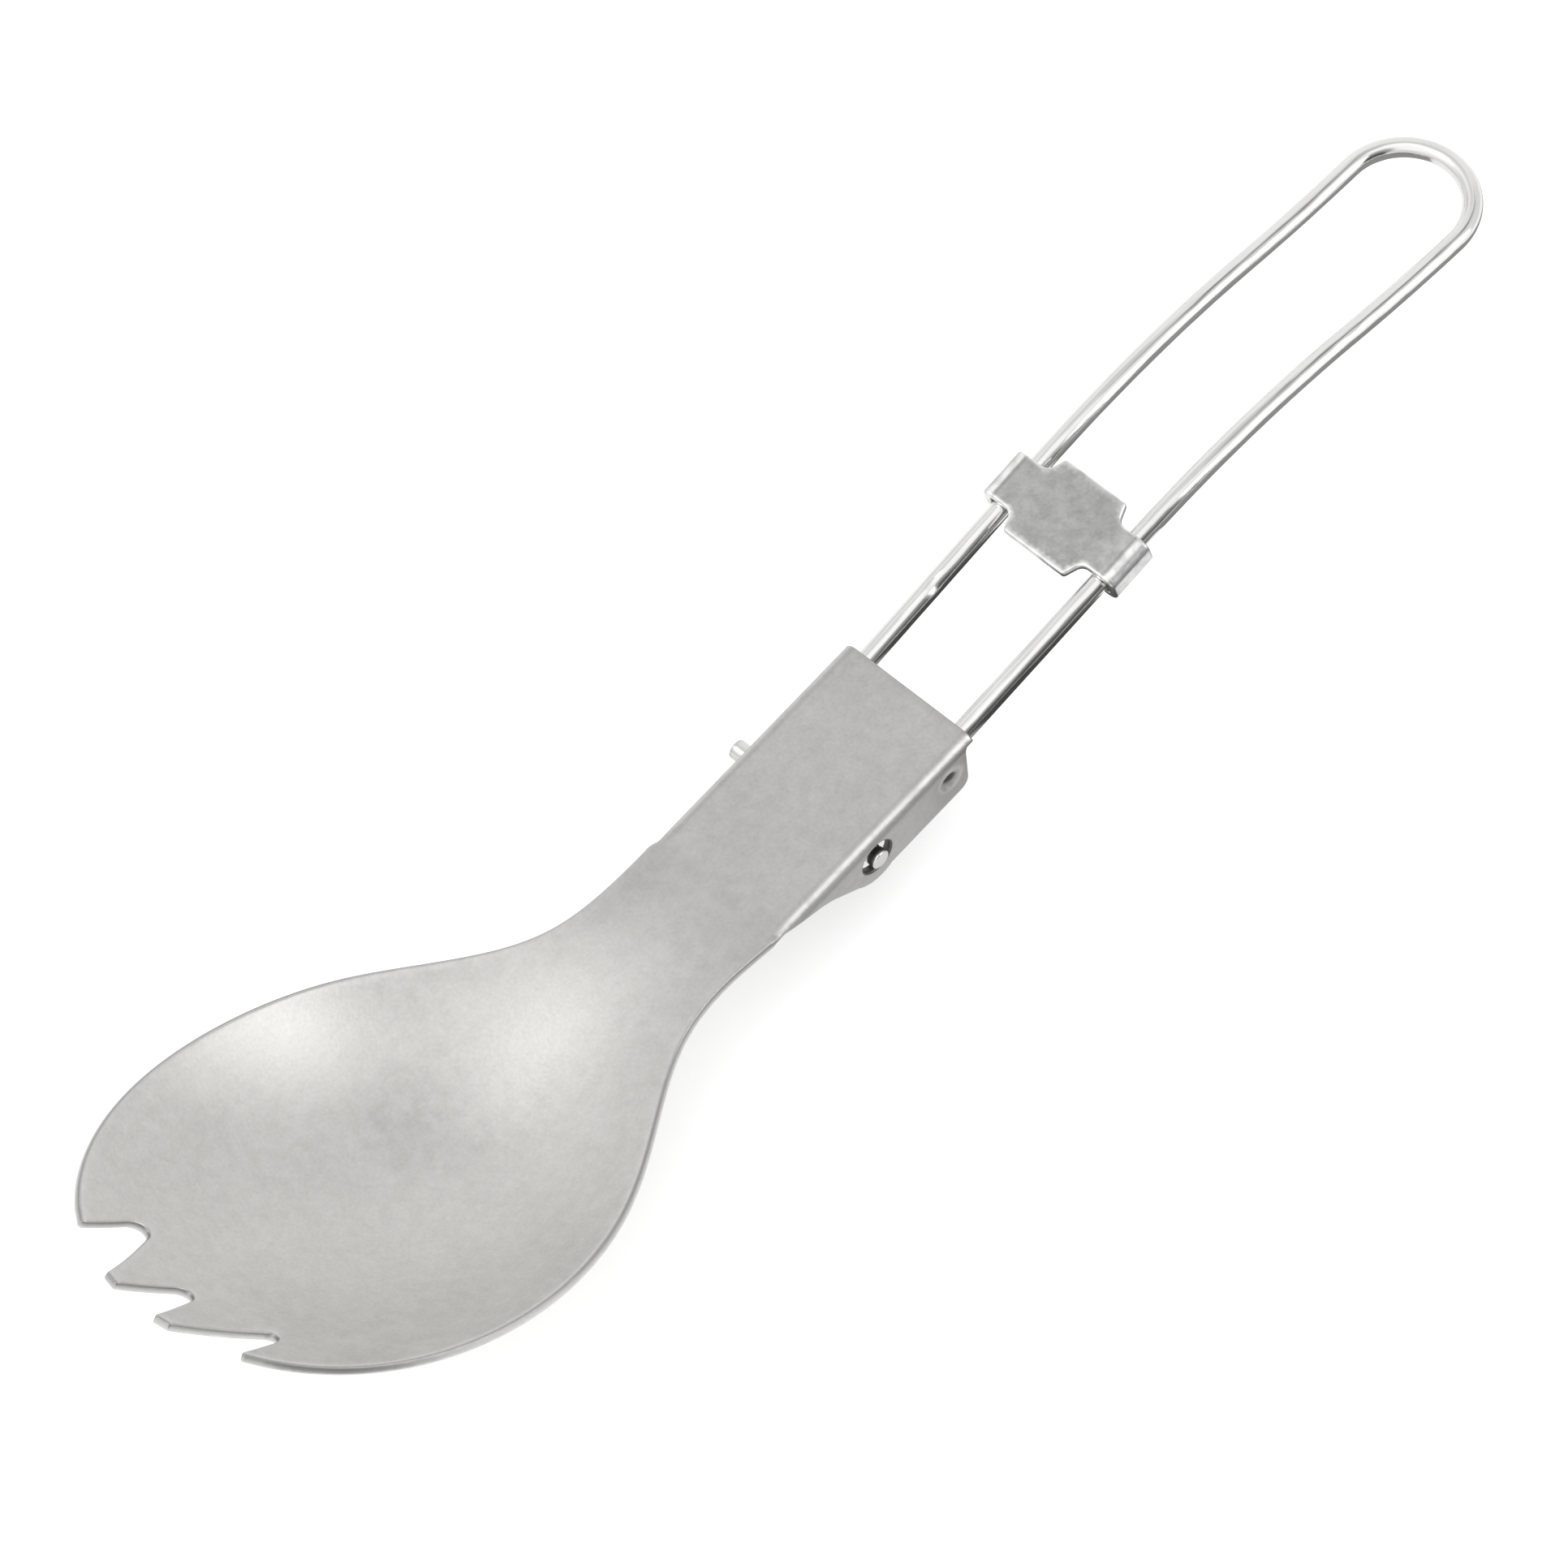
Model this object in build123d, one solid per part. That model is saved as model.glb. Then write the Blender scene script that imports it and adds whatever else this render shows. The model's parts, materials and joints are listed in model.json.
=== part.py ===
from build123d import *
import os
from math import comb, cos, degrees, radians, sin, tan

# Folding spork of titanium sheet and wire, in millimetres.
# It is drawn with the grip plate level: X runs back along the handle, Y to the left and Z up out of the bowl.
# The plate's top face is at height zero. At the end the spork is laid down on its belly and its hinge bosses.

# Sheet of the head: bowl, neck, grip plate and the two flanges bent down from it
head_sheet = 0.9
plate_half_width = 8.0
plate_front = 10.5
plate_rear = 14.2
plate_bend_radius = 1.2
plate_bend_fade = 5.5
flange_setback = 1.0
flange_lean = 0.7
flange_depth = 6.45
flange_corner_radius = 1.3
flange_step_radius = 0.35
flange_foot = 1.45
flange_sweep_reach = 6.0
flange_sweep_depth = 2.5
flange_sweep_radius = 8.0

# Hinge of the handle: a round hole in each flange, with a boss round it
pivot_x = 0.45
pivot_depth = 3.15
pivot_hole_radius = 1.8
boss_radius = 3.6

# Detent pits pressed into the outside of the flanges
pit_x = 10.3
pit_below_plate = 3.1
pit_radius = 1.2
pit_depth = 0.45

# Plan of the head, measured forwards from the neck and sideways from the middle line
head_length = 71.3
bowl_half_width = 21.55
bowl_outline_shares = (
    (0.089, 0.360),
    (0.204, 0.405),
    (0.308, 0.586),
    (0.448, 0.864),
    (0.635, 1.0),
    (0.822, 0.872),
    (0.913, 0.659),
)
outer_tip_setback = 2.9
outer_tip_half = 9.8
front_shoulder_setback = 1.15
front_shoulder_half = 6.0
slot_end_radius = 1.05
slot_mouth_lead = 0.9
side_slot_depth = 6.5
side_slot_half = 8.3
side_mouth_inner_half = 3.1
side_mouth_outer_half = 10.7
middle_slot_depth = 4.3
middle_mouth_half = 2.85
tine_tip_radius = 0.3

# Dish of the bowl's under face: its height along the middle line, and its curve from side to side
patch_margin = 2.2
patch_length = head_length + patch_margin
patch_half_width = bowl_half_width + patch_margin
bowl_rise = 32.9
bowl_rise_shares = (0, 0, 0.029, 0.032, -0.022, -0.094, -0.079, -0.003, 0.103, 0.24, 0.407, 0.666, 1)
bowl_cross_radius = 24.4
bowl_cross_shares = (0, 0, 1.6, 1, 1, 1, 1, 1, 1, 1, 1, 1, 1)

# Wire of the handle: two straight legs, which arch down to a flatter end loop
wire_radius = 1.0
wire_bend_radius = 1.2
leg_rise_angle = 5.0
leg_straight = 38.2
arch_radius = 96.3
arch_turn_angle = 17.65
set_radius = 130.0
set_turn_angle = 6.2
loop_lead = 0.6
leg_half_at_pivot = 5.88
leg_half_at_loop = 6.55
left_pin_end = 9.95
right_pin_end = 8.5

# Sliding lock: a small plate whose wings curl round both legs, with a tongue at its front and rear
slider_place = 35.7
slider_sheet = 0.85
slider_clearance = 0.1
slider_side_clearance = 0.2
slider_wing_length = 5.2
slider_tongue_length = 9.0
slider_tongue_half = 3.75
slider_tongue_radius = 0.4
slider_root_half = 4.5
slider_root_radius = 1.0
slider_top_bend_radius = 1.15
slider_curl_radius = 1.4
slider_lip = 0.3

# How far cutting shapes run past what they cut
overrun = 2.0


def bent_section(half_width, sheet, radius, depth):
    """Sheet bent down at both sides, seen from the end, with its top face at height zero."""
    outer = Pos(0, -depth / 2) * Rectangle(2 * half_width, depth)
    outer = fillet(outer.vertices().group_by(Axis.Y)[-1], radius)
    inner = Pos(0, -sheet - depth / 2) * Rectangle(2 * (half_width - sheet), depth)
    inner = fillet(inner.vertices().group_by(Axis.Y)[-1], radius - sheet)
    return outer - inner


def flange_profile():
    """Side view of the channel: plate edge, flange, hinge boss and the sweep up to the neck."""
    rear = plate_rear - flange_setback
    outline = FilletPolyline(
        (-plate_front, overrun),
        (plate_rear, overrun),
        (plate_rear, -head_sheet),
        (rear, -head_sheet),
        (rear - flange_lean, -flange_depth),
        (pivot_x - flange_foot, -flange_depth),
        (-flange_sweep_reach, -flange_sweep_depth),
        (-plate_front, -head_sheet),
        radius=[0, 0, 0, flange_step_radius, flange_corner_radius, 0, flange_sweep_radius, 0],
        close=True,
    )
    boss = Pos(pivot_x, -pivot_depth) * Circle(boss_radius)
    return Plane.XZ * (make_face(outline) + boss)


def neck_plate():
    """Flat sheet of the neck, which narrows as the bends of the flanges begin beside it."""
    flat_half = plate_half_width - plate_bend_radius
    left = [(-plate_front, plate_half_width), (-plate_bend_fade, flat_half), (pivot_x, flat_half)]
    right = [(x, -y) for x, y in reversed(left)]
    return extrude(make_face(Polyline(*left, *right, close=True)), -head_sheet)


def detent_pit(side):
    """Ball that presses a round pit into the outside of one flange."""
    ball_radius = (pit_radius**2 + pit_depth**2) / (2 * pit_depth)
    y = plate_half_width - pit_depth + ball_radius
    return Pos(pit_x, side * y, -pit_below_plate) * Sphere(ball_radius)


def channel():
    """Grip plate with its two flanges, their hinge holes and their detent pits."""
    depth = pivot_depth + boss_radius + overrun
    section = bent_section(plate_half_width, head_sheet, plate_bend_radius, depth)
    bent = extrude(Plane.YZ.offset(-plate_front) * section, plate_front + plate_rear)
    bent &= extrude(flange_profile(), plate_half_width + overrun, both=True)
    hole = Rot(90, 0, 0) * Cylinder(pivot_hole_radius, 2 * (plate_half_width + overrun))
    holed = bent + neck_plate() - Pos(pivot_x, 0, -pivot_depth) * hole
    return holed - detent_pit(1) - detent_pit(-1)


def bowl_surface():
    """Dished under face of the bowl, longer and wider than the bowl that is cut from it."""
    steps = len(bowl_rise_shares) - 1
    net = []
    for step, (rise_share, cross_share) in enumerate(zip(bowl_rise_shares, bowl_cross_shares)):
        x = -plate_front - patch_length * step / steps
        middle = bowl_rise * rise_share - head_sheet
        lift = cross_share * patch_half_width**2 / (2 * bowl_cross_radius)
        net.append([
            Vector(x, -patch_half_width, middle + lift),
            Vector(x, 0, middle - lift),
            Vector(x, patch_half_width, middle + lift),
        ])
    return Face.make_bezier_surface(net)


def tine_slot(depth, end_half, mouth_inner, mouth_outer):
    """Slot between two tines: round at its end and widening to its mouth."""
    nose_x = -plate_front - head_length
    end = Pos(nose_x + depth, end_half) * Circle(slot_end_radius)
    mouth_x = nose_x - slot_mouth_lead
    mouth = Line((mouth_x, mouth_inner), (mouth_x, mouth_outer))
    return make_hull([*end.edges(), mouth])


def bowl_plan():
    """Outline of the bowl with its four tines, seen from above."""
    sides = [(-plate_front - head_length * reach, bowl_half_width * half) for reach, half in bowl_outline_shares]
    nose_x = -plate_front - head_length
    outer_tip = (nose_x + outer_tip_setback, outer_tip_half)
    shoulder = (nose_x + front_shoulder_setback, front_shoulder_half)
    nose = (nose_x, 0)
    left = Spline((-plate_front, plate_half_width), *sides, outer_tip)
    left += Polyline(outer_tip, shoulder, nose)
    neck = Line((-plate_front, -plate_half_width), (-plate_front, plate_half_width))
    plan = make_face(left + mirror(left, Plane.XZ) + neck)
    plan -= tine_slot(middle_slot_depth, 0, -middle_mouth_half, middle_mouth_half)
    side_slot = tine_slot(side_slot_depth, side_slot_half, side_mouth_inner_half, side_mouth_outer_half)
    plan = plan - side_slot - mirror(side_slot, Plane.XZ)
    tip_line = nose_x + outer_tip_setback + slot_end_radius
    return fillet([corner for corner in plan.vertices() if corner.X < tip_line], tine_tip_radius)


def bowl():
    """Bowl and tines: the dished face cut to its outline and given the thickness of the sheet."""
    prism = extrude(Pos(0, 0, -bowl_rise) * bowl_plan(), 3 * bowl_rise)
    face = bowl_surface() & prism
    return thicken(face, head_sheet, normal_override=(0, 0, 1))


def leg_corners():
    """Side view of a leg's middle line from the hinge to the end loop, before its bends are rounded."""
    arch_tangent = arch_radius * tan(radians(arch_turn_angle / 2))
    set_tangent = set_radius * tan(radians(set_turn_angle / 2))
    runs = (
        (leg_straight + arch_tangent, leg_rise_angle),
        (arch_tangent + set_tangent, leg_rise_angle - arch_turn_angle),
        (set_tangent + loop_lead, leg_rise_angle - arch_turn_angle + set_turn_angle),
    )
    corners = [(pivot_x, -pivot_depth)]
    for length, angle in runs:
        x, z = corners[-1]
        corners.append((x + length * cos(radians(angle)), z + length * sin(radians(angle))))
    return corners


def leg_half(x):
    """Distance of a leg's middle line from the middle of the handle, which grows towards the loop."""
    loop_x = leg_corners()[-1][0]
    return leg_half_at_pivot + (leg_half_at_loop - leg_half_at_pivot) * (x - pivot_x) / (loop_x - pivot_x)


def leg_line(side, pin_end):
    """Middle line of one leg with the pin that turns outwards through its flange."""
    points = [(x, side * leg_half(x), z) for x, z in leg_corners()]
    pin = (pivot_x, side * pin_end, -pivot_depth)
    return FilletPolyline(pin, *points, radius=[wire_bend_radius, arch_radius, set_radius])


def wire_handle():
    """Handle bent from one wire, whose two ends are the hinge pins."""
    left = leg_line(1, left_pin_end)
    right = leg_line(-1, right_pin_end)
    loop = TangentArc(left @ 1, right @ 1, tangent=left % 1)
    section = Plane(left @ 0, z_dir=left % 0) * Circle(wire_radius)
    return sweep(section, path=Wire([*left.edges(), loop, *right.edges()]))


def slider_plan(half_width):
    """Outline of the slider: two wings, a front tongue and a rear tongue."""
    wing = slider_wing_length / 2
    tongue = slider_tongue_length / 2
    quarter = [
        (tongue, slider_tongue_half, slider_tongue_radius),
        (wing, slider_root_half, slider_root_radius),
        (wing, half_width + overrun, 0),
    ]
    half = quarter + [(-x, y, radius) for x, y, radius in reversed(quarter)]
    corners = half + [(x, -y, radius) for x, y, radius in reversed(half)]
    outline = FilletPolyline(
        *[(x, y) for x, y, radius in corners], radius=[radius for x, y, radius in corners], close=True
    )
    return make_face(outline)


def slider_section(half_spacing):
    """End view of the slider, with the wires' middle lines at height zero."""
    inner_height = wire_radius + slider_clearance
    inner_half = half_spacing + wire_radius + slider_side_clearance
    outer = Rectangle(2 * (inner_half + slider_sheet), 2 * (inner_height + slider_sheet))
    outer = fillet(outer.vertices().group_by(Axis.Y)[-1], slider_top_bend_radius)
    outer = fillet(outer.vertices().group_by(Axis.Y)[0], slider_curl_radius)
    inner = Rectangle(2 * inner_half, 2 * inner_height)
    inner = fillet(inner.vertices().group_by(Axis.Y)[-1], slider_top_bend_radius - slider_sheet)
    inner = fillet(inner.vertices().group_by(Axis.Y)[0], slider_curl_radius - slider_sheet)
    gap = Pos(0, -slider_sheet) * Rectangle(2 * (half_spacing - slider_lip), 2 * inner_height)
    return outer - inner - gap


def lock_slider():
    """Small plate that slides along both legs and holds them apart near the plate."""
    rise = radians(leg_rise_angle)
    along = Vector(cos(rise), 0, sin(rise))
    place = Vector(pivot_x, 0, -pivot_depth) + along * slider_place
    half_spacing = leg_half(place.X + slider_wing_length / 2)
    section = Plane.YZ * slider_section(half_spacing)
    body = extrude(section, slider_tongue_length / 2, both=True)
    height = wire_radius + slider_clearance + slider_sheet
    half_width = half_spacing + wire_radius + slider_side_clearance + slider_sheet
    body &= extrude(slider_plan(half_width), height + overrun, both=True)
    return Plane(place, x_dir=along, z_dir=(-sin(rise), 0, cos(rise))) * body


def belly_height(tilt):
    """Height of the bowl's lowest point below the middle of the frame, once tilted forwards."""
    steps = len(bowl_rise_shares) - 1
    heights = []
    for sample in range(1, 100):
        t = sample / 100
        rise = sum(comb(steps, i) * t**i * (1 - t)**(steps - i) * share for i, share in enumerate(bowl_rise_shares))
        x = -plate_front - patch_length * t
        heights.append((bowl_rise * rise - head_sheet) * cos(tilt) + x * sin(tilt))
    return min(heights)


def rest_tilt():
    """Tilt that brings the bowl's belly and the hinge bosses down to one level."""
    low, high = 0, radians(20)
    for halving in range(40):
        tilt = (low + high) / 2
        boss_height = pivot_x * sin(tilt) - pivot_depth * cos(tilt) - boss_radius
        if belly_height(tilt) > boss_height:
            low = tilt
        else:
            high = tilt
    return tilt


def laid_down(nodes):
    """Place that lays the spork down with the middle of its base at the origin."""
    tilt = Rot(0, -degrees(rest_tilt()), 0)
    boxes = [(tilt * node).bounding_box() for node in nodes.values()]
    front = min(box.min.X for box in boxes)
    rear = max(box.max.X for box in boxes)
    base = min(box.min.Z for box in boxes)
    return Pos(-(front + rear) / 2, 0, -base) * tilt


os.makedirs("parts", exist_ok=True)
nodes = {"spork_head": channel() + bowl(), "wire_handle": wire_handle(), "lock_slider": lock_slider()}
place = laid_down(nodes)
for name, node in nodes.items():
    export_step(place * node, f"parts/{name}.step")
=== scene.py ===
import json
from math import comb, pi

import bpy
import numpy as np
from mathutils import Matrix, Vector
from mathutils.geometry import delaunay_2d_cdt


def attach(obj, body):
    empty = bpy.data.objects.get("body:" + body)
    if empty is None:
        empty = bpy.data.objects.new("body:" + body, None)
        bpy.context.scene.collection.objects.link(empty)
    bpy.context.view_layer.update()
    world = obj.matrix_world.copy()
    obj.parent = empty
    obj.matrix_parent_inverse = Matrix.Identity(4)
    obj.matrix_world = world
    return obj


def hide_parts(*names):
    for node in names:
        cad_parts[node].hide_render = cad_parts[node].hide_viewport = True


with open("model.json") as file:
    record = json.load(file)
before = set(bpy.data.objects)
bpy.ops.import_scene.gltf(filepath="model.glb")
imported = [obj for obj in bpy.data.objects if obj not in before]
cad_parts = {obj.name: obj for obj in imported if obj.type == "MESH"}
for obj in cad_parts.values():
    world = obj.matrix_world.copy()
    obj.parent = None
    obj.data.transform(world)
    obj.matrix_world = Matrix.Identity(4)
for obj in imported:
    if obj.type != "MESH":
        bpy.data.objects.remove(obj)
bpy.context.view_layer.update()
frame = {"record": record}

# Shapes are worked out in millimetres with the grip plate level, X back along the handle and Z up out of the
# bowl, as in the part's source. rest() lays them down into the frame, in metres.

# Head
SHEET = 0.9
PLATE_HALF, PLATE_FRONT, PLATE_REAR, BEND_R = 8.0, 10.5, 14.2, 1.2
FLAT_HALF = PLATE_HALF - BEND_R
BEND_ARC = BEND_R * pi / 2
FLANGE_SETBACK, FLANGE_LEAN, FLANGE_DEPTH = 1.0, 0.7, 6.45
FLANGE_FOOT, SWEEP_REACH, SWEEP_DEPTH, SWEEP_R = 1.45, 6.0, 2.5, 8.0
CORNER_R, STEP_R = 1.3, 0.35
PIVOT_X, PIVOT_DEPTH, HOLE_R, BOSS_R = 0.45, 3.15, 1.8, 3.6
PIT_X, PIT_DOWN, PIT_R, PIT_DEPTH = 10.3, 3.1, 1.2, 0.45
HEAD_LENGTH, BOWL_HALF = 71.3, 21.55
OUTLINE_SHARES = (
    (0.089, 0.360),
    (0.204, 0.405),
    (0.308, 0.586),
    (0.448, 0.864),
    (0.635, 1.0),
    (0.822, 0.872),
    (0.913, 0.659),
)
OUTER_TIP_SETBACK, OUTER_TIP_HALF = 2.9, 9.8
SHOULDER_SETBACK, SHOULDER_HALF = 1.15, 6.0
SLOT_R, SLOT_MOUTH_LEAD = 1.05, 0.9
SIDE_SLOT_DEPTH, SIDE_SLOT_HALF, SIDE_MOUTH_IN, SIDE_MOUTH_OUT = 6.5, 8.3, 3.1, 10.7
MIDDLE_SLOT_DEPTH, MIDDLE_MOUTH = 4.3, 2.85
TIP_R, TINE_LEAD, SLOT_STEPS, HOLE_STEPS = 0.3, 1.2, 24, 72
PATCH_MARGIN = 2.2
PATCH_LENGTH = HEAD_LENGTH + PATCH_MARGIN
BOWL_RISE, CROSS_R = 32.9, 24.4
RISE_SHARES = (0, 0, 0.029, 0.032, -0.022, -0.094, -0.079, -0.003, 0.103, 0.24, 0.407, 0.666, 1)
CROSS_SHARES = (0, 0, 1.6, 1, 1, 1, 1, 1, 1, 1, 1, 1, 1)
FADE_FROM, FADE_TO = -13.2, -10.2     # where the bends of the flanges fade into the neck

# Meshes of the sheets: rounding of the upper and the lower edge, size of the grid, and how much the rounded top
# of the edge and its wall are painted paler, part wear and part painted highlight, and how much painted shade
# the wall gets
HEAD_EDGE_R, HEAD_LOW_R, HEAD_GRID, HEAD_EDGE = 0.28, 0.16, 0.55, (0.12, 0.5, 0.55)
SL_EDGE_R, SL_LOW_R, SL_GRID, SL_EDGE = 0.22, 0.14, 0.4, (1.0, 1.0, 0.0)
# The second value is how much painted shade the hinge holes' walls get
EDGE_STEPS, HOLE_PAINTED_SHADE = 5, 0.85
DENSE_X, DENSE_Y, DENSE_GAP = 0.16, 0.14, 0.12
DIFFERENCE = 0.02                     # step for slopes

# Wire handle
WIRE_R, WIRE_BEND_R, RISE, STRAIGHT = 1.0, 1.2, 5.0, 38.2
ARCH_R, ARCH_TURN, SET_R, SET_TURN, LOOP_LEAD = 96.3, 17.65, 130.0, 6.2, 0.6
LEG_HALF_PIVOT, LEG_HALF_LOOP = 5.88, 6.55
LEFT_PIN, RIGHT_PIN = 9.95, 8.5

# Slider
SL_PLACE, SL_SHEET, SL_CLEAR, SL_SIDE_CLEAR = 35.7, 0.85, 0.1, 0.2
SL_WING, SL_TONGUE, SL_TONGUE_HALF, SL_TONGUE_R = 5.2, 9.0, 3.75, 0.4
SL_ROOT_HALF, SL_ROOT_R, SL_TOP_R, SL_CURL_R, SL_LIP = 4.5, 1.0, 1.15, 1.4, 0.3
SL_LIP_R, SL_STEP = 0.25, 0.16

record = frame["record"]
plate_axis = next(m for m in record["mounts"] if m["name"] == "grip_plate")["axis"]
pivot_at = next(j for j in record["behaviour"]["joints"] if j["name"] == "handle_fold")["pos_m"]
TILT = np.arctan2(-plate_axis[0], plate_axis[2])
LAY = np.array([[np.cos(TILT), 0, -np.sin(TILT)], [0, 1, 0], [np.sin(TILT), 0, np.cos(TILT)]])
SHIFT = np.array(pivot_at) * 1000 - LAY @ np.array([PIVOT_X, 0, -PIVOT_DEPTH])


def rest(points):
    """Points of the level spork, in millimetres, laid down into the frame, in metres."""
    return (np.asarray(points, float) @ LAY.T + SHIFT) / 1000


# ---------------------------------------------------------------- flat outlines

def rounded(points, radii, closed=True, step=0.2):
    """Polyline through 2-D points, its corners rounded to arcs and its runs divided every step."""
    points = [np.array(p, float) for p in points]
    count = len(points)
    out = []
    for i in range(count):
        p, r = points[i], radii[i]
        if not closed and i in (0, count - 1) or r <= 0:
            out.append([p])
            continue
        a, b = points[i - 1] - p, points[(i + 1) % count] - p
        a, b = a / np.linalg.norm(a), b / np.linalg.norm(b)
        half = np.arccos(np.clip(a @ b, -1, 1)) / 2
        back = r / np.tan(half)
        middle = (a + b) / np.linalg.norm(a + b)
        centre = p + middle * r / np.sin(half)
        start, end = p + a * back - centre, p + b * back - centre
        turn = np.arctan2(start[0] * end[1] - start[1] * end[0], start @ end)
        n = max(3, int(abs(turn) * r / step) + 3)
        spin = [turn * k / n for k in range(n + 1)]
        out.append([centre + [c * start[0] - s * start[1], s * start[0] + c * start[1]]
                    for c, s in ((np.cos(t), np.sin(t)) for t in spin)])
    flat = [q for part in out for q in part]
    return divided(flat, step, closed)


def divided(points, step, closed):
    """The same line with its long runs divided every step."""
    points = [np.array(p, float) for p in points]
    pairs = list(zip(points, points[1:] + points[:1])) if closed else list(zip(points, points[1:]))
    out = []
    for a, b in pairs:
        n = max(1, int(np.ceil(np.linalg.norm(b - a) / step)))
        out += [a + (b - a) * k / n for k in range(n)]
    if not closed:
        out.append(points[-1])
    return np.array(out)


def smooth_curve(points, per_run=24):
    """Smooth curve through 2-D points: a cubic spline on the length between them."""
    points = np.array(points, float)
    t = np.r_[0, np.cumsum(np.linalg.norm(np.diff(points, axis=0), axis=1))]
    n = len(t)
    h = np.diff(t)
    m = np.zeros((n, n))
    rhs = np.zeros((n, 2))
    # At its ends the third derivative carries on through the second and the last but one point
    m[0, :3] = h[1], -(h[0] + h[1]), h[0]
    m[-1, -3:] = h[-1], -(h[-2] + h[-1]), h[-2]
    for i in range(1, n - 1):
        m[i, i - 1:i + 2] = h[i - 1], 2 * (h[i - 1] + h[i]), h[i]
        rhs[i] = 6 * ((points[i + 1] - points[i]) / h[i] - (points[i] - points[i - 1]) / h[i - 1])
    bend = np.linalg.solve(m, rhs)
    out = []
    for i in range(n - 1):
        for k in range(per_run):
            b = k / per_run
            a = 1 - b
            curve = ((a**3 - a) * bend[i] + (b**3 - b) * bend[i + 1]) * h[i]**2 / 6
            out.append(a * points[i] + b * points[i + 1] + curve)
    out.append(points[-1])
    return np.array(out)


def inside(points, loops):
    """Which 2-D points lie inside an odd number of the loops."""
    points = np.atleast_2d(points)
    odd = np.zeros(len(points), bool)
    for loop in loops:
        a, b = loop, np.roll(loop, -1, axis=0)
        for p, q in zip(a, b):
            if p[1] == q[1]:
                continue
            between = (points[:, 1] >= min(p[1], q[1])) & (points[:, 1] < max(p[1], q[1]))
            at = p[0] + (points[:, 1] - p[1]) * (q[0] - p[0]) / (q[1] - p[1])
            odd ^= between & (points[:, 0] < at)
    return odd


def nearest(points, loops):
    """Distance of each 2-D point from the nearest point of the loops."""
    rim = np.vstack(loops)
    out = np.empty(len(points))
    for k in range(0, len(points), 2000):
        part = points[k:k + 2000]
        out[k:k + 2000] = np.sqrt(((part[:, None] - rim[None]) ** 2).sum(2).min(1))
    return out


def inward(loop, hole=False):
    """Unit normals of a closed loop that point into the sheet."""
    before, after = np.roll(loop, 1, axis=0), np.roll(loop, -1, axis=0)
    a, b = loop - before, after - loop
    a /= np.linalg.norm(a, axis=1)[:, None]
    b /= np.linalg.norm(b, axis=1)[:, None]
    along = a + b
    along /= np.linalg.norm(along, axis=1)[:, None]
    area = (loop[:, 0] * after[:, 1] - after[:, 0] * loop[:, 1]).sum()
    side = 1 if (area > 0) != hole else -1
    return side * np.column_stack([-along[:, 1], along[:, 0]])


# ---------------------------------------------------------------- sheet with rounded edges

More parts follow.
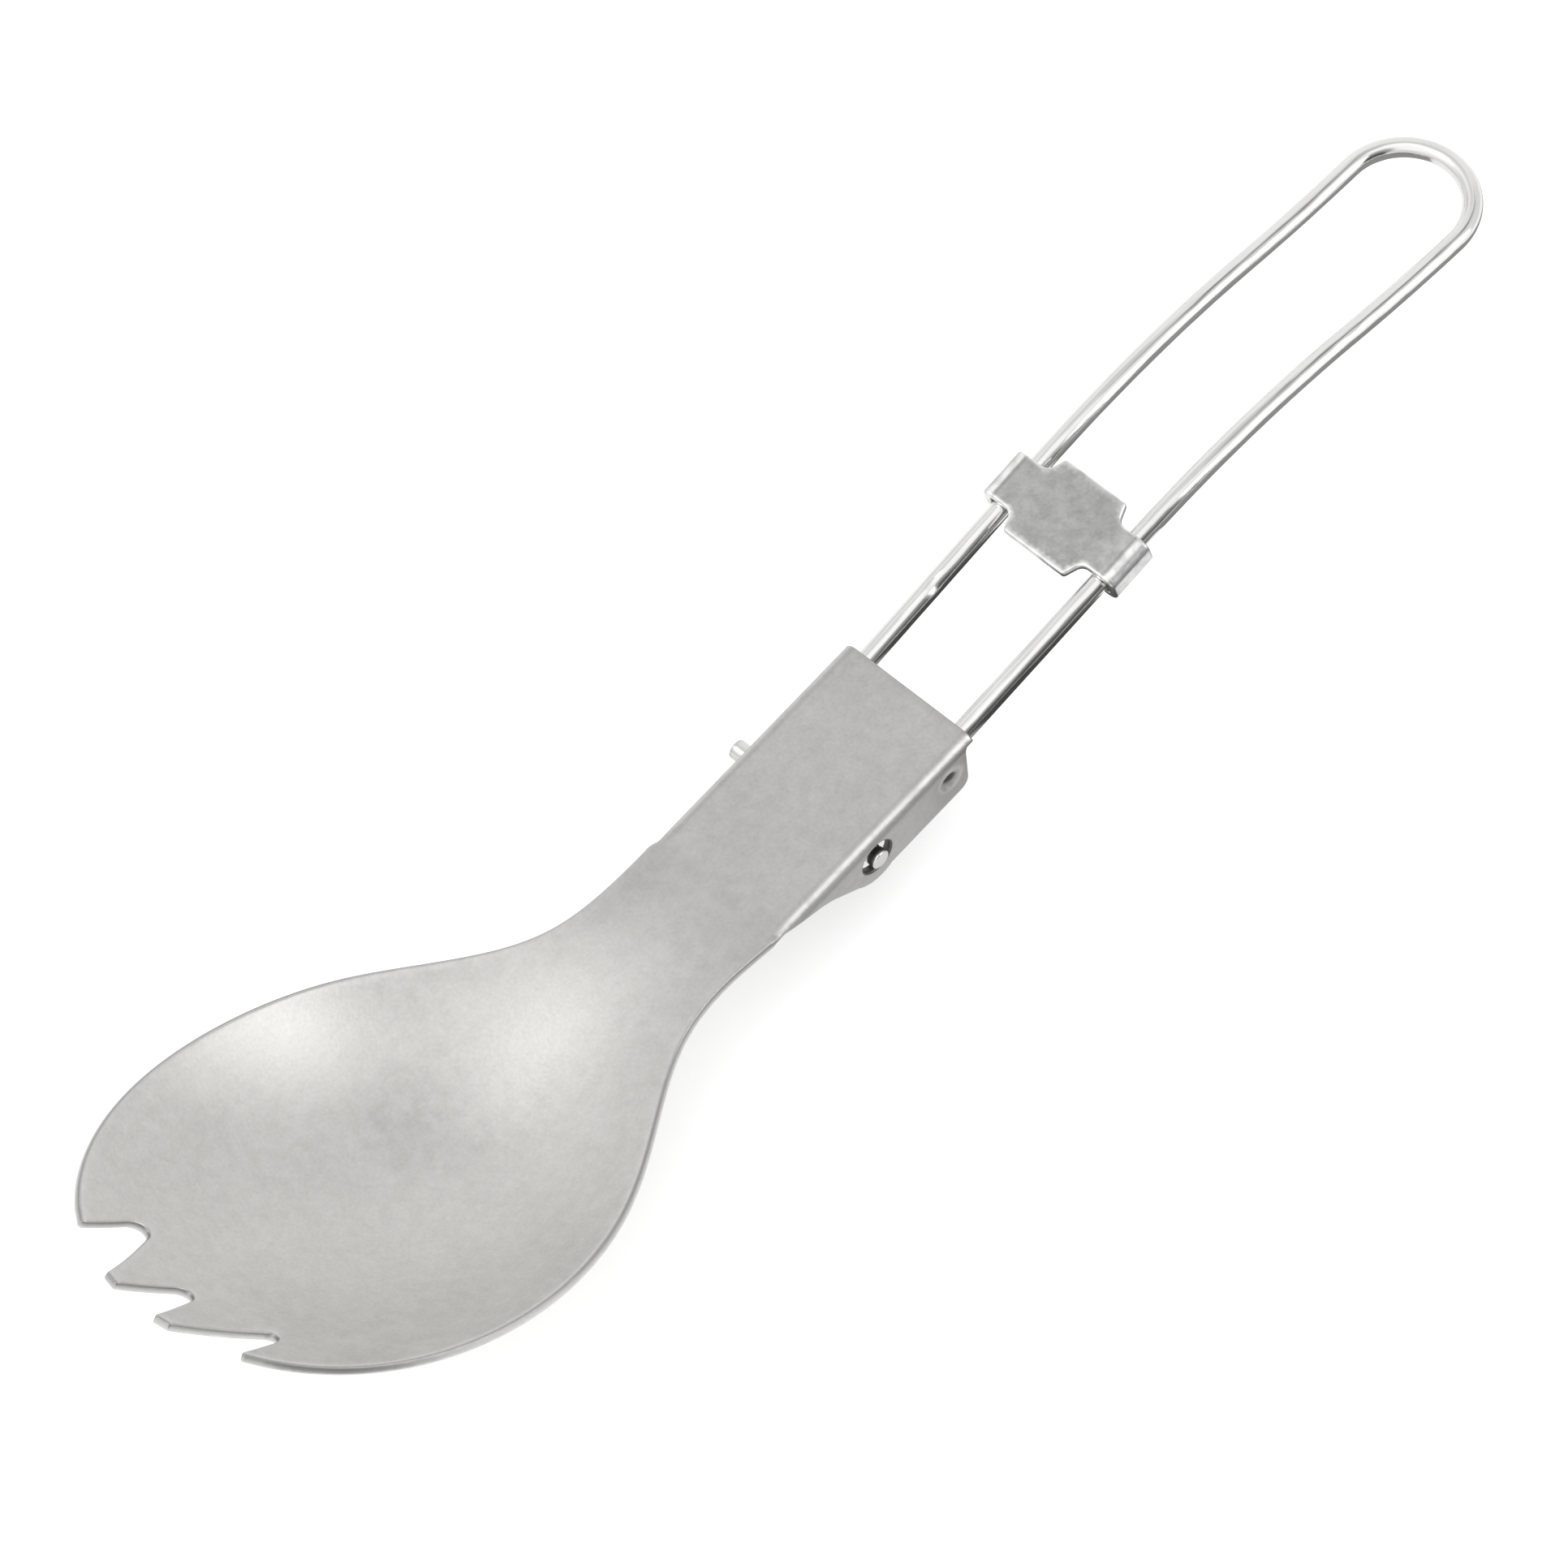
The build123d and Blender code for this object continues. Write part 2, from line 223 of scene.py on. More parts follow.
def sheet_mesh(name, loops, surface, thickness, top_r, low_r, grid, extra, marks, edge):
    """Bent sheet with rounded edges. loops are its flat outline and then its holes; surface(points, height)
    gives the 3-D place of flat points at a height between its under face, 0, and its upper face, thickness.
    The edges are rounded by top_r and the smaller low_r. The faces are a grid of triangles, with the rows of
    points in extra where the sheet bends. marks(points, height) gives how much paler and shinier they are, part
    wear and part painted highlight, and how much painted shade they get, and edge how much the rounded top of
    the cut edge and its wall are painted paler, part wear and part painted highlight, and how much painted shade
    the wall gets, for the material."""
    turns = np.linspace(0, pi / 2, EDGE_STEPS)
    profile = [(top_r * (1 - np.sin(t)), thickness - top_r * (1 - np.cos(t))) for t in turns]
    profile += [(low_r * (1 - np.cos(t)), low_r * (1 - np.sin(t))) for t in turns]
    profile.append((top_r, 0))
    normals = [inward(loop, hole=k > 0) for k, loop in enumerate(loops)]
    inner = [loop + n * top_r for loop, n in zip(loops, normals)]

    low, high = loops[0].min(0), loops[0].max(0)
    xs = np.arange(low[0], high[0], grid)
    ys = np.arange(low[1], high[1], grid * 0.866)
    mesh_x, mesh_y = np.meshgrid(xs, ys)
    mesh_x[1::2] += grid / 2
    points = np.column_stack([mesh_x.ravel(), mesh_y.ravel()])
    for rows in extra:
        box_low, box_high = rows.min(0) - grid * 0.4, rows.max(0) + grid * 0.4
        points = points[~((points > box_low) & (points < box_high)).all(1)]
    points = points[inside(points, inner)]
    points = points[nearest(points, inner) > grid * 0.55]
    dense = np.vstack(extra)
    dense = dense[inside(dense, inner)]
    dense = dense[nearest(dense, inner) > DENSE_GAP]
    points = np.vstack([points, dense])

    rim = np.vstack(inner)
    sizes = [len(loop) for loop in inner]
    starts = np.r_[0, np.cumsum(sizes)]
    edges = [(int(s + k), int(s + (k + 1) % n)) for s, n in zip(starts, sizes) for k in range(n)]
    flat = [Vector(p) for p in np.vstack([rim, points])]
    made = delaunay_2d_cdt(flat, edges, [], 0, 1e-7)
    out_points = np.array([tuple(v) for v in made[0]])
    origin = made[3]
    triangles = np.array(made[2])
    middles = out_points[triangles].mean(1)
    triangles = triangles[inside(middles, inner)]
    corners = out_points[triangles]
    area = np.cross(corners[:, 1] - corners[:, 0], corners[:, 2] - corners[:, 0])
    triangles[area < 0] = triangles[area < 0][:, ::-1]

    # vertex table: the upper face, the under face, and between them the rings of the edge
    used = np.unique(triangles)
    place = -np.ones(len(out_points), int)
    place[used] = np.arange(len(used))
    from_rim = {}
    for k in used:
        for o in origin[k]:
            if o < len(rim):
                from_rim[o] = place[k]
    flat_used = out_points[used]
    upper = surface(flat_used, thickness)
    under = surface(flat_used, 0)
    verts = [upper, under]
    cut = np.zeros(len(flat_used))
    # The cut edge's rounded top is painted paler, part wear and part painted highlight
    cut[list(from_rim.values())] = edge[0] / 2
    finish = [np.column_stack([cut, marks(flat_used, thickness)]), np.column_stack([cut, marks(flat_used, 0)])]
    faces = [tuple(place[t]) for t in triangles]
    faces += [tuple(len(used) + place[t][::-1]) for t in triangles]
    base = 2 * len(used)
    rings = []
    for number, (loop, n) in enumerate(zip(loops, normals)):
        ids = [[from_rim[int(starts[number] + k)] for k in range(len(loop))]]
        for d, h in profile[1:-1]:
            verts.append(surface(loop + n * d, h))
            rub_and_highlight, painted_shade = marks(loop, h).T
            # Cut edge: painted paler, part wear, part painted highlight; painted shade near its top and in the holes
            wall = smooth_step(thickness - h, 0.1, top_r + 0.05)
            top_of_wall = smooth_step(thickness - h, 0.0, 0.2) * (1 - smooth_step(thickness - h, 0.35, 0.65))
            wear_and_highlight = edge[0] * (1 - wall) + edge[1] * wall
            painted_shade = np.maximum(painted_shade, HOLE_PAINTED_SHADE if number else edge[2] * top_of_wall)
            finish.append(np.column_stack([np.full(len(loop), 0.0 if number else wear_and_highlight), rub_and_highlight * (1 - wall), painted_shade]))
            ids.append(list(range(base, base + len(loop))))
            base += len(loop)
        ids.append([len(used) + from_rim[int(starts[number] + k)] for k in range(len(loop))])
        flip = (polygon_area(loop) > 0) == (number == 0)
        rings.append((ids, flip))
    for ids, flip in rings:
        count = len(ids[0])
        for a, b in zip(ids, ids[1:]):
            for k in range(count):
                q = (a[k], b[k], b[(k + 1) % count], a[(k + 1) % count])
                faces.append(q if flip else q[::-1])
    obj = new_piece(name, rest(np.vstack(verts)), faces)
    store(obj, "marks", np.vstack(finish))
    return obj


def store(obj, name, values):
    """Keeps one vector for each point of a piece, for its material."""
    made = obj.data.attributes.new(name, "FLOAT_VECTOR", "POINT")
    made.data.foreach_set("vector", np.asarray(values, np.float32).ravel())


def polygon_area(loop):
    """Area of a closed 2-D loop, negative where it runs clockwise."""
    after = np.roll(loop, -1, axis=0)
    return (loop[:, 0] * after[:, 1] - after[:, 0] * loop[:, 1]).sum() / 2


def new_piece(name, points, faces):
    """Smooth-shaded mesh object from points in the frame and faces."""
    mesh = bpy.data.meshes.new(name)
    mesh.from_pydata([tuple(map(float, p)) for p in points], [], [tuple(map(int, f)) for f in faces])
    mesh.validate()
    mesh.update()
    mesh.polygons.foreach_set("use_smooth", [True] * len(mesh.polygons))
    obj = bpy.data.objects.new(name, mesh)
    bpy.context.scene.collection.objects.link(obj)
    return obj


# ---------------------------------------------------------------- head

def bowl_height(x, y):
    """Height of the bowl's under face above the plate's under face."""
    u = np.clip((-PLATE_FRONT - x) / PATCH_LENGTH, 0, 1)
    last = len(RISE_SHARES) - 1
    rise = sum(comb(last, i) * u**i * (1 - u)**(last - i) * s for i, s in enumerate(RISE_SHARES))
    cross = sum(comb(last, i) * u**i * (1 - u)**(last - i) * s for i, s in enumerate(CROSS_SHARES))
    return BOWL_RISE * rise + cross * y**2 / (2 * CROSS_R)


def bowl_top(x, y):
    """Upper face of the bowl over the plan point x, y of its under face."""
    e = DIFFERENCE
    dx = (bowl_height(x + e, y) - bowl_height(x - e, y)) / (2 * e)
    dy = (bowl_height(x, y + e) - bowl_height(x, y - e)) / (2 * e)
    size = np.sqrt(1 + dx**2 + dy**2)
    lift = SHEET / size
    return np.column_stack([x - dx * lift, y - dy * lift, bowl_height(x, y) + lift - SHEET])


def smooth_step(x, low, high):
    """Rises smoothly from 0 at low to 1 at high."""
    t = np.clip((x - low) / (high - low), 0, 1)
    return t * t * (3 - 2 * t)


def head_top(flat):
    """Upper face of the head: the bowl in front, the plate with its bent-down flanges behind."""
    x, s = flat[:, 0], flat[:, 1]
    place = bowl_top(x, s)
    beyond = np.maximum(np.abs(s) - FLAT_HALF, 0)
    limit = pi / 2 * smooth_step(x, FADE_FROM, FADE_TO)
    angle = np.minimum(beyond / BEND_R, limit)
    straight = beyond - angle * BEND_R
    out = BEND_R * np.sin(angle) + straight * np.cos(angle)
    down = BEND_R * (1 - np.cos(angle)) + straight * np.sin(angle)
    place[:, 1] += np.sign(s) * (out - beyond)
    place[:, 2] -= down
    return place


def head_surface(flat, height):
    """Place of flat points of the head at a height between its under face, 0, and its upper face."""
    flat = np.asarray(flat, float)
    e = DIFFERENCE
    dx = head_top(flat + [e, 0]) - head_top(flat - [e, 0])
    ds = head_top(flat + [0, e]) - head_top(flat - [0, e])
    normal = np.cross(dx, ds)
    normal /= np.linalg.norm(normal, axis=1)[:, None]
    place = head_top(flat) - normal * (SHEET - height)
    if height > SHEET / 2:
        ball = (PIT_R**2 + PIT_DEPTH**2) / (2 * PIT_DEPTH)
        for side in (-1, 1):
            away = np.linalg.norm(flat - [PIT_X, side * across(PIT_DOWN)], axis=1)
            depth = np.sqrt(np.maximum(ball**2 - away**2, 0)) - (ball - PIT_DEPTH)
            soft = 0.5 * (depth + np.sqrt(depth**2 + 0.03**2))
            place -= normal * np.where(away < 2 * PIT_R, soft - 0.0007, 0)[:, None]
    return place


def across(depth):
    """Flat distance from the middle line to a depth on the outside of the bend and its flange."""
    depth = np.asarray(depth, float)
    bent = FLAT_HALF + BEND_R * np.arccos(np.clip(1 - depth / BEND_R, -1, 1))
    return np.where(depth < BEND_R, bent, FLAT_HALF + BEND_ARC + depth - BEND_R)


def head_outline():
    """Flat outline of the head's left half, from the middle of its rear edge to the nose."""
    # flange, in its side view: x and depth
    rear = PLATE_REAR - FLANGE_SETBACK
    side = rounded(
        [(rear, 0.2), (rear - FLANGE_LEAN, FLANGE_DEPTH), (PIVOT_X - FLANGE_FOOT, FLANGE_DEPTH),
         (-SWEEP_REACH, SWEEP_DEPTH), (-PLATE_FRONT, SHEET)],
        [0, CORNER_R, 0, SWEEP_R, 0], closed=False, step=0.1)
    centre = np.array([PIVOT_X, PIVOT_DEPTH])
    away = np.linalg.norm(side - centre, axis=1)
    outside = away >= BOSS_R
    cut = np.where(~outside)[0]
    first, last = cut[0], cut[-1]
    a0 = np.arctan2(*(side[first] - centre)[::-1])
    a1 = np.arctan2(*(side[last] - centre)[::-1])
    arc = [centre + BOSS_R * np.array([np.cos(t), np.sin(t)]) for t in np.linspace(a0, a1, 30)]
    side = np.vstack([side[:first], arc, side[last + 1:]])
    flange = np.column_stack([side[:, 0], across(side[:, 1])])
    step_s = float(across(SHEET))
    flange = flange[(flange[:, 0] > FADE_TO + 0.4) & ((flange[:, 1] > step_s + 0.6) | (flange[:, 0] < 0))]
    # where the bend fades, the edge runs on to the neck
    nose_x = -PLATE_FRONT - HEAD_LENGTH
    sides = [(-PLATE_FRONT - HEAD_LENGTH * r, BOWL_HALF * h) for r, h in OUTLINE_SHARES]
    outer_tip = (nose_x + OUTER_TIP_SETBACK, OUTER_TIP_HALF)
    rim = smooth_curve([(-PLATE_FRONT, PLATE_HALF), *sides, outer_tip])
    rim = rim[rim[:, 0] < FADE_FROM - 0.3]
    end, begin = flange[-1], rim[0]
    lead = flange[-1] - flange[-4]
    lead /= np.linalg.norm(lead)
    tail = rim[3] - rim[0]
    tail /= np.linalg.norm(tail)
    span = np.linalg.norm(begin - end)
    t = np.linspace(0, 1, 30)[1:-1, None]
    h = (2 * t**3 - 3 * t**2 + 1) * end + (t**3 - 2 * t**2 + t) * lead * span
    h = h + (3 * t**2 - 2 * t**3) * begin + (t**3 - t**2) * tail * span
    top = rounded([(PLATE_REAR, 0), (PLATE_REAR, step_s), (rear, step_s), tuple(flange[0])],
                  [0, 0.12, STEP_R, 0], closed=False, step=0.2)
    return np.vstack([top, flange[1:], h, rim]), nose_x


def slot_line(depth, half, mouth_in, mouth_out, nose_x):
    """Edge of a slot from its mouth's outer side round its end to its inner side, in plan."""
    centre = np.array([nose_x + depth, half])
    mouth_x = nose_x - SLOT_MOUTH_LEAD
    ends = []
    for y, side in ((mouth_out, 1), (mouth_in, -1)):
        p = np.array([mouth_x, y])
        d = p - centre
        size = np.linalg.norm(d)
        base = np.arctan2(d[1], d[0])
        off = np.arccos(SLOT_R / size)
        ends.append((p, base - side * off))
    a0, a1 = ends[0][1] % (2 * pi), ends[1][1] % (2 * pi)
    if a1 > a0:
        a1 -= 2 * pi
    arc = [centre + SLOT_R * np.array([np.cos(t), np.sin(t)]) for t in np.linspace(a0, a1, SLOT_STEPS)]
    return ends[0][0], arc, ends[1][0]


def crossing(p, q, a, b):
    """Point where the lines p-q and a-b cross."""
    d, e = q - p, b - a
    t = ((a - p)[0] * e[1] - (a - p)[1] * e[0]) / (d[0] * e[1] - d[1] * e[0])
    return p + d * t


def head_loops():
    """Outline of the whole flat head, and its two hinge holes."""
    half, nose_x = head_outline()
    tip = half[-1]
    shoulder = np.array([nose_x + SHOULDER_SETBACK, SHOULDER_HALF])
    nose = np.array([nose_x, 0.0])
    out_p, out_arc, in_p = slot_line(SIDE_SLOT_DEPTH, SIDE_SLOT_HALF, SIDE_MOUTH_IN, SIDE_MOUTH_OUT, nose_x)
    mid_p, mid_arc, _ = slot_line(MIDDLE_SLOT_DEPTH, 0.0, -MIDDLE_MOUTH, MIDDLE_MOUTH, nose_x)
    # outer tine: its tip is where the slot's outer side meets the rim
    rim = half
    side_a, side_b = out_arc[0], out_p
    d = side_b - side_a
    normal = np.array([-d[1], d[0]])
    sign = (rim - side_a) @ normal
    cross_at = max(k for k in range(len(rim) - 1) if sign[k] * sign[k + 1] <= 0 and rim[k][0] < nose_x + 14)
    w = sign[cross_at] / (sign[cross_at] - sign[cross_at + 1])
    outer_tip = rim[cross_at] + w * (rim[cross_at + 1] - rim[cross_at])
    rim = rim[:cross_at + 1]
    # inner tine: cut by the shoulder and nose line between the two slots
    inner_out = crossing(out_arc[-1], in_p, tip, shoulder)
    if inner_out[1] < SHOULDER_HALF:
        inner_out = crossing(out_arc[-1], in_p, shoulder, nose)
    inner_in = crossing(mid_arc[0], mid_p, shoulder, nose)
    flat_tip = [inner_out, shoulder, inner_in] if inner_out[1] > SHOULDER_HALF else [inner_out, inner_in]
    tine_x = outer_tip[0] + TINE_LEAD
    before = rim[rim[:, 0] < tine_x][0]
    tine = rounded([before, outer_tip, out_arc[0]], [0, TIP_R, 0], closed=False, step=0.12)
    inner = rounded([out_arc[-1], *flat_tip, mid_arc[0]], [0] + [TIP_R] * len(flat_tip) + [0],
                    closed=False, step=0.12)
    middle = [p for p in mid_arc if p[1] > 1e-6]
    front = np.vstack([rim[rim[:, 0] >= tine_x], tine, out_arc[1:-1], inner, middle])
    left = front[1:]
    right = left[::-1] * [1, -1]
    rear = np.array([[PLATE_REAR, 0.0]])
    end = np.array([[nose_x + MIDDLE_SLOT_DEPTH + SLOT_R, 0.0]])
    loop = np.vstack([rear, left, end, right])
    loop = clean_loop(loop)
    holes = []
    for side in (1, -1):
        centre = np.array([PIVOT_X, side * across(PIVOT_DEPTH)])
        turns = np.linspace(0, 2 * pi, HOLE_STEPS, endpoint=False)
        holes.append(centre + HOLE_R * np.column_stack([np.cos(turns), np.sin(turns)]))
    return [loop, *holes]


def clean_loop(loop, gap=0.04, step=0.3):
    """Closed loop without doubled points, its long runs divided."""
    out = [loop[0]]
    for p in loop[1:]:
        if np.linalg.norm(p - out[-1]) > gap:
            out.append(p)
    if np.linalg.norm(out[-1] - out[0]) <= gap:
        out.pop()
    return divided(out, step, True)


def band(x0, x1, dx, y0, y1, dy):
    """Rows of points over a rectangle."""
    xs = np.arange(x0, x1 + 1e-9, dx)
    ys = np.arange(y0, y1 + 1e-9, dy)
    gx, gy = np.meshgrid(xs, ys)
    gx[1::2] += dx / 2
    return np.column_stack([gx.ravel(), gy.ravel()])


def head_marks(flat, height):
    """How much paler and shinier the head is painted along its bends, round its pits and on its flanges, part wear
    and part painted highlight, and where it gets painted shade: along its bends, in its pits, inside its channel
    and towards its flanges' rear.
    """
    x, s = flat[:, 0], np.abs(flat[:, 1])
    bend = (s - FLAT_HALF) / BEND_ARC
    bent = smooth_step(x, FADE_FROM + 0.8, FADE_TO + 0.4)
    # Bends painted paler and shinier, part wear and part painted highlight, far more on the right (-Y) side
    rub_and_highlight = bent * (1 - smooth_step(np.abs(bend - 0.4), 0.07, 0.2))
    rub_and_highlight *= np.where(flat[:, 1] < 0, 1.0, 0.3)
    # Two thin dark lines of painted shade along each bend, beside its painted highlight
    line = bent * (0.12 * np.exp(-((bend - 0.08) / 0.1) ** 2) + 0.2 * np.exp(-((bend - 0.82) / 0.13) ** 2))
    if height < SHEET / 2:
        # Under face: painted shade inside the channel and round the hinge
        hinge = np.linalg.norm(np.column_stack([x, s]) - [PIVOT_X, across(PIVOT_DEPTH)], axis=1)
        painted_shade = 0.4 * smooth_step(x, -11, -7) * smooth_step(s, 2, 6) + 0.45 * (1 - smooth_step(hinge, 3, 8))
        return np.column_stack([rub_and_highlight * 0, painted_shade])
    # Pits: painted shade in each pit and a painted highlight round its rim
    away = np.linalg.norm(np.column_stack([x, s]) - [PIT_X + 0.25, across(PIT_DOWN) - 0.15], axis=1)
    painted_shade = np.maximum(line, 0.95 * (1 - smooth_step(away, 0.5, 1.0)))
    rub_and_highlight = np.maximum(rub_and_highlight, 0.6 * np.exp(-((away - 1.35) / 0.3) ** 2))
    # Flanges: painted light at their front and painted shade towards their rear
    on_flange = bent * smooth_step(bend, 0.9, 1.3)
    rub_and_highlight = np.maximum(rub_and_highlight, 0.18 * on_flange * (1 - smooth_step(x, 4, 9)))
    painted_shade = np.maximum(painted_shade, 0.12 * on_flange * smooth_step(x, 7.5, 9.5))
    return np.column_stack([rub_and_highlight, painted_shade])


def build_head():
    """Head of one sheet, with finer rows of points along its bends and at its pits."""
    bend_from, margin, reach = -12.5, 0.5, PIT_R + 0.5
    bends = [band(bend_from, PLATE_REAR, DENSE_X, FLAT_HALF - margin, FLAT_HALF + BEND_ARC + margin, DENSE_Y)]
    pit_s = across(PIT_DOWN)
    bends.append(band(PIT_X - reach, PIT_X + reach, DENSE_X, pit_s - reach, pit_s + reach, DENSE_Y))
    bends += [b * [1, -1] for b in bends]
    head = sheet_mesh("spork_head_sheet", head_loops(), head_surface, SHEET, HEAD_EDGE_R, HEAD_LOW_R, HEAD_GRID,
                      bends, head_marks, HEAD_EDGE)
    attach(head, "head")
    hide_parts("spork_head")
    return head


# ---------------------------------------------------------------- wire handle

def round_path(points, radii, step=0.35):
    """3-D polyline with its inner corners rounded to arcs."""
    points = [np.array(p, float) for p in points]
    out = [points[0]]
    for i in range(1, len(points) - 1):
        p, r = points[i], radii[i - 1]
        a, b = points[i - 1] - p, points[i + 1] - p
        a, b = a / np.linalg.norm(a), b / np.linalg.norm(b)
        half = np.arccos(np.clip(a @ b, -1, 1)) / 2
        back = r / np.tan(half)
        middle = (a + b) / np.linalg.norm(a + b)
        centre = p + middle * r / np.sin(half)
        start = p + a * back - centre
        end = p + b * back - centre
        total = np.arccos(np.clip(start @ end / r**2, -1, 1))
        n = max(8, int(total * r / step))
        for k in range(n + 1):
            t = total * k / n
            out.append(centre + (np.sin(total - t) * start + np.sin(t) * end) / np.sin(total))
    out.append(points[-1])
    return spread(out, 0.5)


def spread(points, step):
    """The same path without doubled points, with more along the runs that are longer than a step."""
    kept = [points[0]]
    for p in points[1:]:
        if np.linalg.norm(p - kept[-1]) > step / 8:
            kept.append(p)
    points = kept
    out = []
    for a, b in zip(points, points[1:]):
        n = max(1, int(np.ceil(np.linalg.norm(b - a) / step)))
        out += [a + (b - a) * k / n for k in range(n)]
    out.append(points[-1])
    return out


def leg_corners():
    """Side view of a leg's middle line from the hinge to the end loop, before its bends are rounded."""
    t1 = ARCH_R * np.tan(np.radians(ARCH_TURN / 2))
    t2 = SET_R * np.tan(np.radians(SET_TURN / 2))
    runs = (
        (STRAIGHT + t1, RISE),
        (t1 + t2, RISE - ARCH_TURN),
        (t2 + LOOP_LEAD, RISE - ARCH_TURN + SET_TURN),
    )
    corners = [(PIVOT_X, -PIVOT_DEPTH)]
    for length, angle in runs:
        x, z = corners[-1]
        corners.append((x + length * np.cos(np.radians(angle)), z + length * np.sin(np.radians(angle))))
    return corners


def leg_half(x):
    """Distance of a leg's middle line from the middle of the handle."""
    end = leg_corners()[-1][0]
    return LEG_HALF_PIVOT + (LEG_HALF_LOOP - LEG_HALF_PIVOT) * (x - PIVOT_X) / (end - PIVOT_X)


def leg_line(side, pin_end):
    """Middle line of one leg, with the pin that turns outwards through its flange."""
    points = [(x, side * leg_half(x), z) for x, z in leg_corners()]
    return round_path([(PIVOT_X, side * pin_end, -PIVOT_DEPTH), *points], [WIRE_BEND_R, ARCH_R, SET_R])


def wire_path():
    """Middle line of the whole wire, from one pin's end round the loop to the other's."""
    left, right = leg_line(1, LEFT_PIN), leg_line(-1, RIGHT_PIN)
    start, end = left[-1], right[-1]
    tangent = left[-1] - left[-2]
    tangent /= np.linalg.norm(tangent)
    chord = end - start
    # circle through start and end that leaves along the tangent
    sideways = chord - (chord @ tangent) * tangent
    sideways /= np.linalg.norm(sideways)
    radius = (chord @ chord) / (2 * (chord @ sideways))
    centre = start + sideways * radius
    a, b = start - centre, end - centre
    total = np.arctan2(b @ tangent / radius, b @ a / radius**2) % (2 * pi)
    loop = [centre + a * np.cos(t) + tangent * radius * np.sin(t) for t in np.linspace(0, total, 60)[1:-1]]
    return np.array(left + loop + right[::-1])


def tube(name, path, radius, painted_shade, sides=40, rounding=0.14, dents=()):
    """Round wire along a path, with softly rounded cut ends. grime(places) gives how much painted shade it gets at
    points of its middle line, and a dent is its place, its reach and its depth."""
    path = np.array(path)
    ahead = np.gradient(path, axis=0)
    ahead /= np.linalg.norm(ahead, axis=1)[:, None]
    up = np.cross(ahead[0], [0.3, 0.2, 1.0])
    axes = []
    for d in ahead:
        up = up - d * (up @ d)
        up = up / np.linalg.norm(up)
        axes.append((up, np.cross(d, up)))
    run = np.r_[0, np.cumsum(np.linalg.norm(np.diff(path, axis=0), axis=1))]
    turns = np.linspace(0, 2 * pi, sides, endpoint=False)
    circle = np.cos(turns)[:, None], np.sin(turns)[:, None]
    caps = [(rounding * (1 - np.cos(t)), radius - rounding * (1 - np.sin(t))) for t in np.linspace(0, pi / 2, 6)]
    rows = [(path[0] + ahead[0] * back, axes[0], r, back) for back, r in caps]
    rows += [(p, ax, radius, at) for p, ax, at in zip(path, axes, run) if rounding < at < run[-1] - rounding]
    rows += [(path[-1] - ahead[-1] * back, axes[-1], r, run[-1] - back) for back, r in reversed(caps)]
    centres = np.repeat(np.array([row[0] for row in rows]), sides, axis=0)
    points = np.vstack([c + r * (circle[0] * u + circle[1] * v) for c, (u, v), r, at in rows])
    for place, reach, depth in dents:
        away = np.linalg.norm(points - np.asarray(place), axis=1) / reach
        push = depth * np.where(away < 1, (1 - away**2) ** 2, 0)
        points = points + (centres - points) / radius * push[:, None]
    grain = np.vstack([np.column_stack([np.cos(turns), np.sin(turns), np.full(sides, at)]) for *_, at in rows])
    faces = []
    for i in range(len(rows) - 1):
        for k in range(sides):
            a, b = i * sides + k, i * sides + (k + 1) % sides
            faces.append((a, b, b + sides, a + sides))
    count = len(points)
    last = count - sides
    faces += [(count, (k + 1) % sides, k) for k in range(sides)]
    faces += [(count + 1, last + k, last + (k + 1) % sides) for k in range(sides)]
    obj = new_piece(name, rest(np.vstack([points, path[0], path[-1]])), faces)
    grain = np.vstack([grain, [0, 0, 0], [0, 0, run[-1]]])
    store(obj, "grain", grain)
    shade_values = painted_shade(np.vstack([centres, path[0], path[-1]]))
    store(obj, "marks", np.column_stack([0 * shade_values, 0 * shade_values, shade_values]))
    return obj


def build_wire():
    """Handle of one wire, with a crimp in its left leg and a nick in its loop."""
    path = wire_path()
    crimp_x, crimp_reach, crimp_depth = 23.9, 1.4, 0.1
    nick_reach, nick_depth, nick_points_on = 0.6, 0.09, 8
    crimp_z = np.tan(np.radians(RISE)) * (crimp_x - PIVOT_X) - PIVOT_DEPTH
    crimp = (crimp_x, leg_half(crimp_x) - 0.6 * WIRE_R, crimp_z + 0.8 * WIRE_R)
    loop_start = np.argmin(np.abs(path[:, 0] - path[:, 0].max() + LEG_HALF_LOOP) + 99 * (path[:, 1] < 0))
    middle = path[loop_start] * [1, 0, 1]
    nicked = path[loop_start + nick_points_on]
    inwards = middle - nicked
    nick = nicked + inwards * WIRE_R / np.linalg.norm(inwards)

    def painted_shade(places):
        """Painted shade on the wire inside the channel, and the left pin painted darker, with a darker rim."""
        inside_channel = 1 - smooth_step(np.abs(places[:, 1]), PLATE_HALF - SHEET - 0.2, PLATE_HALF - SHEET + 0.3)
        channel_shade = inside_channel * (1 - smooth_step(places[:, 0], 4, 9))
        left_pin = smooth_step(places[:, 1], PLATE_HALF - 0.1, PLATE_HALF + 0.2)
        rim = smooth_step(places[:, 1], LEFT_PIN - 0.25, LEFT_PIN - 0.1)
        return np.maximum(channel_shade, 0.12 * left_pin + 0.2 * rim)

    dents = ((crimp, crimp_reach, crimp_depth), (nick, nick_reach, nick_depth))
    wire = tube("wire_handle_wire", path, WIRE_R, painted_shade, dents=dents)
    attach(wire, "handle")
    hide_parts("wire_handle")
    return wire


# ---------------------------------------------------------------- slider

